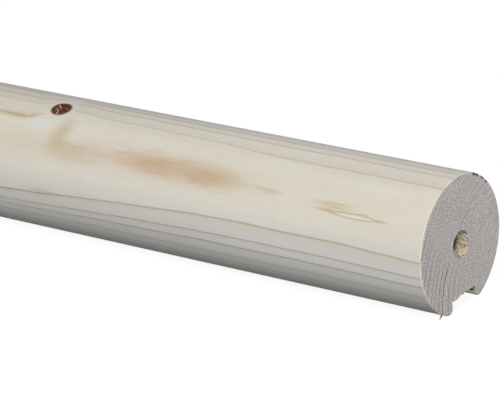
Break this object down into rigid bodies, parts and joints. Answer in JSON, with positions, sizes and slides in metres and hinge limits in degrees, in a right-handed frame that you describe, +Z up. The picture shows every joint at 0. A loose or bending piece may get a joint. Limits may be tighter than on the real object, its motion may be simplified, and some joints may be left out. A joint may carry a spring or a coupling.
{
  "type": "round handrail",
  "caption": "Planed round softwood handrail, grooved along its underside and bored on its axis at each sawn end, for brackets, posts or a flat bar.",
  "frame": {"origin": "under the middle of the rail, on the plane that the two lips of the groove stand on", "axes": "+X along the rail towards the end that the picture shows, +Z up, with the groove facing down"},
  "size_m": [1.5, 0.05, 0.0479],
  "materials": {
    "spruce": "matte"
  },
  "bodies": {
    "root": {"handrail": "spruce"}
  },
  "joints": []
}
